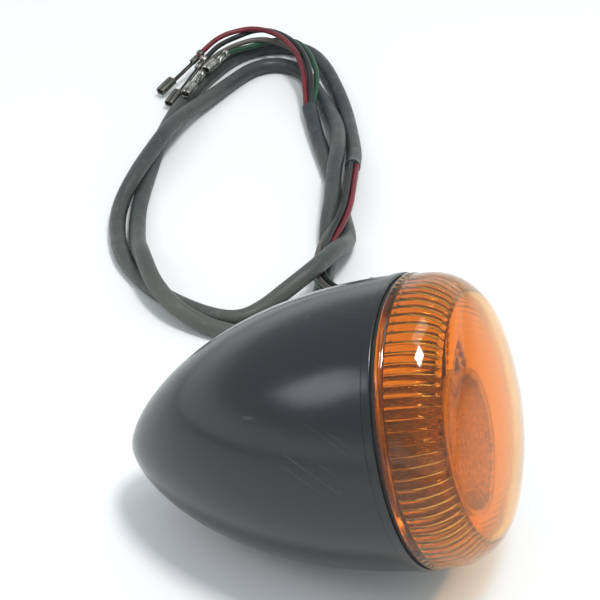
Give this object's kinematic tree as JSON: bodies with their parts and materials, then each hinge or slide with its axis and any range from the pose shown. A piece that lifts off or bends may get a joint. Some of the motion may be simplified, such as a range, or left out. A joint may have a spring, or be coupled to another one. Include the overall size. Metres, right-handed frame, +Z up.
{
  "type": "turn signal indicator",
  "caption": "Bullet-shaped motorcycle turn signal with an amber lens, a side stud mount, a bayonet bulb and a coiled lead with bare terminals.",
  "frame": {"origin": "on the mounting stud's axis, where its free thread starts beyond the jam nut", "axes": "+Z up while the lamp lies on its side, +Y along the mounting stud away from the housing, +X to the lens, which looks 17.5 degrees above +X"},
  "size_m": [0.1498, 0.2648, 0.0705],
  "materials": {
    "black_gloss": "gloss black",
    "seal_rubber": "matt black",
    "amber": "transparent amber plastic",
    "amber_cap": "stippled amber plastic",
    "bright_metal": "vacuum metallised",
    "steel": "zinc plated",
    "phenolic": "brown phenolic",
    "brass": "bright",
    "solder": "solder",
    "clear_glass": "clear",
    "grey_sheath": "grey flexible plastic",
    "tinned": "tin plated",
    "wire_red": "satin",
    "wire_black": "satin",
    "wire_grey": "satin",
    "wire_green": "satin"
  },
  "bodies": {
    "lamp": {"housing": "black_gloss", "lens_seal": "seal_rubber", "reflector": "bright_metal", "retaining_ring": "steel", "diffuser_cap": "amber_cap", "socket_shell": "steel", "socket_screws": "steel", "socket_end_plate": "phenolic", "socket_spring": "steel", "mounting_stud": "steel", "cable_bush": "seal_rubber", "cable_head": "grey_sheath", "cable_tail": "grey_sheath", "cable_coil": "grey_sheath", "inner_lead_red": "wire_red", "base_wire_red": "wire_red", "end_wire_red": "wire_red", "terminal_red": "tinned", "inner_lead_black": "wire_black", "base_wire_black": "wire_black", "end_wire_black": "wire_black", "terminal_black": "tinned", "inner_lead_grey": "wire_grey", "base_wire_grey": "wire_grey", "end_wire_grey": "wire_grey", "terminal_grey": "tinned", "inner_lead_green": "wire_green", "base_wire_green": "wire_green", "end_wire_green": "wire_green", "terminal_green": "tinned"},
    "lens_cup": {"lens": "amber"},
    "washer": {"lock_washer": "steel"},
    "nut": {"jam_nut": "steel"},
    "contact_slide": {"contact_carrier": "phenolic", "contact_pips": "brass"},
    "bulb": {"bulb_glass": "clear_glass", "bulb_base": "brass", "bulb_base_insulator": "phenolic", "bulb_contacts": "solder", "bulb_stem": "clear_glass", "filament_supports": "steel", "filaments": "steel"}
  },
  "joints": [
    {"name": "lens_pull", "type": "slide", "parent": "lamp", "child": "lens_cup", "axis": [0.9537, 0, 0.3007], "range_m": [0, 0.025]},
    {"name": "nut_travel", "type": "slide", "parent": "lamp", "child": "washer", "axis": [0, 1, 0], "range_m": [0, 0.005]},
    {"name": "nut_spin", "type": "hinge", "parent": "washer", "child": "nut", "pos_m": [0, 0, 0], "axis": [0, 1, 0], "range_deg": [0, 1440]},
    {"name": "bulb_push", "type": "slide", "parent": "lamp", "child": "contact_slide", "axis": [-0.9537, 0, -0.3007], "range_m": [0, 0.0025], "stiffness_N_per_m": 2000, "springref_m": -0.003, "deforming": ["socket_spring"]},
    {"name": "bulb_turn", "type": "hinge", "parent": "contact_slide", "child": "bulb", "pos_m": [0.00708, -0.042, -0.00249], "axis": [0.9537, 0, 0.3007], "range_deg": [-20, 0]}
  ],
  "couplings": [
    {"joint": "nut_travel", "follows": "nut_spin", "m_per_rad": 0.00019894}
  ]
}
